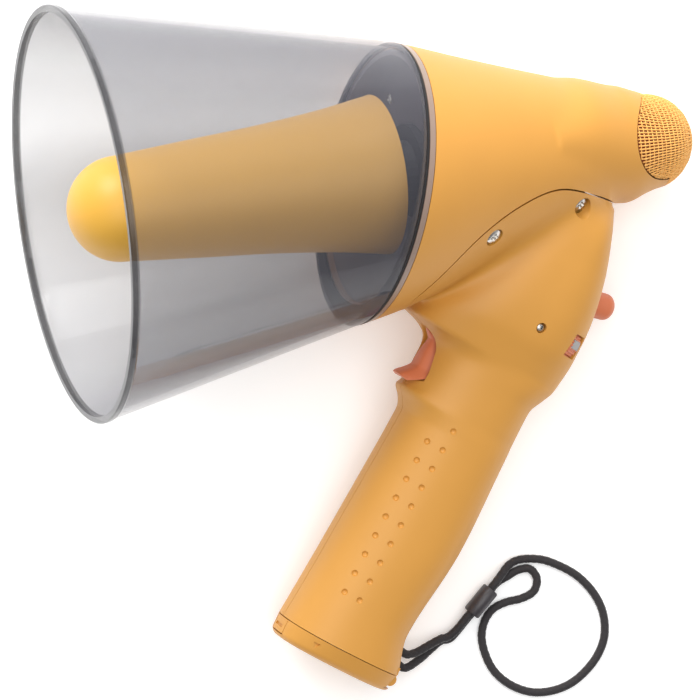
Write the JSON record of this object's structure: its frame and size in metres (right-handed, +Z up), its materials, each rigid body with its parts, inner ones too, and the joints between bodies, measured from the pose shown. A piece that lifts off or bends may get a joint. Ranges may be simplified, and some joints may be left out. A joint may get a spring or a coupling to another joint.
{
  "type": "handheld megaphone",
  "caption": "Pistol grip handheld megaphone with a clear smoky bell, inner reflector cup, trigger, rear button, volume dial and braided wrist strap, lying on its side.",
  "frame": {"origin": "on the surface it lies on, under the middle of the megaphone without its strap", "axes": "+Z up from that surface, -X towards the mouth of the horn, -Y towards the end of the handle"},
  "size_m": [0.2642, 0.2923, 0.154],
  "materials": {
    "smoky_bell": "smoky clear polycarbonate, polished",
    "black_rubber": "soft black",
    "charcoal_plastic": "satin charcoal moulding",
    "yellow_plastic": "satin warm yellow",
    "yellow_casing": "fine matt warm yellow",
    "woven_grille": "woven orange yellow mesh",
    "coral_plastic": "satin coral orange",
    "braided_cord": "braided black polyester",
    "slider_plastic": "satin charcoal",
    "nickel_screw": "nickel plated",
    "steel": "bright steel",
    "ferrite": "dull ferrite",
    "copper": "lacquered copper",
    "board_green": "green laminate",
    "foam": "open cell foam",
    "aluminium_can": "satin",
    "cell_sleeve": "printed sleeve",
    "dark_plastic": "black moulding"
  },
  "bodies": {
    "megaphone": {"base_cup": "charcoal_plastic", "base_cup_screw_1": "nickel_screw", "base_cup_screw_2": "nickel_screw", "base_cup_screw_3": "nickel_screw", "base_cup_screw_4": "nickel_screw", "battery_tray": "dark_plastic", "bell": "smoky_bell", "bell_gasket": "black_rubber", "capacitor_1": "dark_plastic", "capacitor_2": "dark_plastic", "casing_screw_left_1": "nickel_screw", "casing_screw_left_2": "nickel_screw", "casing_screw_left_3": "nickel_screw", "casing_screw_right_1": "nickel_screw", "casing_screw_right_2": "nickel_screw", "cell_1": "cell_sleeve", "cell_2": "cell_sleeve", "cell_3": "cell_sleeve", "cell_4": "cell_sleeve", "cell_5": "cell_sleeve", "cell_6": "cell_sleeve", "circuit_board": "board_green", "cover_hinge_pin": "steel", "diaphragm": "copper", "diaphragm_ring": "dark_plastic", "driver_frame": "dark_plastic", "driver_magnet": "ferrite", "driver_top_plate": "steel", "driver_yoke": "steel", "handle_left": "yellow_casing", "handle_right": "yellow_casing", "mic_capsule": "aluminium_can", "mic_foam": "foam", "mic_grille": "woven_grille", "mic_holder": "black_rubber", "output_transformer": "ferrite", "rear_body": "yellow_casing", "reflector": "yellow_plastic", "strap_bar": "steel", "strap_cord": "braided_cord", "talk_switch": "dark_plastic", "tone_arm": "dark_plastic", "trigger_pin": "steel", "trigger_spring": "steel", "voice_coil": "copper", "volume_pot": "steel", "whistle_spring": "steel", "whistle_switch": "dark_plastic"},
    "trigger": {"trigger": "coral_plastic"},
    "plunger": {"switch_plunger": "coral_plastic"},
    "whistle_button": {"whistle_button": "coral_plastic"},
    "volume_dial": {"volume_dial": "coral_plastic"},
    "battery_cover": {"battery_cover": "yellow_casing", "contact_plate": "steel", "battery_spring": "steel"},
    "cover_latch": {"cover_latch": "yellow_casing"},
    "strap_slider": {"strap_slider": "slider_plastic"}
  },
  "joints": [
    {"name": "trigger_pull", "type": "hinge", "parent": "megaphone", "child": "trigger", "pos_m": [0.02129, 0.00454, 0.03574], "axis": [0.2094, -0.2073, 0.9556], "range_deg": [0, 2.5], "stiffness_Nm_per_rad": 0.25, "springref_deg": -5.73},
    {"name": "plunger_travel", "type": "slide", "parent": "megaphone", "child": "plunger", "axis": [0.7768, -0.5583, -0.2913], "range_m": [0, 0.0007]},
    {"name": "whistle_press", "type": "slide", "parent": "megaphone", "child": "whistle_button", "axis": [-0.8933, 0.3569, 0.2731], "range_m": [0, 0.002], "stiffness_N_per_m": 450, "springref_m": -0.001},
    {"name": "volume_turn", "type": "hinge", "parent": "megaphone", "child": "volume_dial", "pos_m": [0.06765, -0.01121, 0.0385], "axis": [0.5162, -0.3384, -0.7867], "range_deg": [-135, 135]},
    {"name": "cover_open", "type": "hinge", "parent": "megaphone", "child": "battery_cover", "pos_m": [-0.01634, -0.13227, 0.01431], "axis": [0.2094, -0.2073, 0.9556], "range_deg": [0, 75]},
    {"name": "latch_press", "type": "slide", "parent": "battery_cover", "child": "cover_latch", "axis": [0.7768, -0.5583, -0.2913], "range_m": [0, 0.0012], "stiffness_N_per_m": 600, "springref_m": -0.0005},
    {"name": "slider_travel", "type": "slide", "parent": "megaphone", "child": "strap_slider", "axis": [0.7422, 0.6702, 0], "range_m": [-0.007, 0.0012]}
  ],
  "couplings": [
    {"joint": "plunger_travel", "follows": "trigger_pull", "m_per_rad": 0.0154}
  ]
}
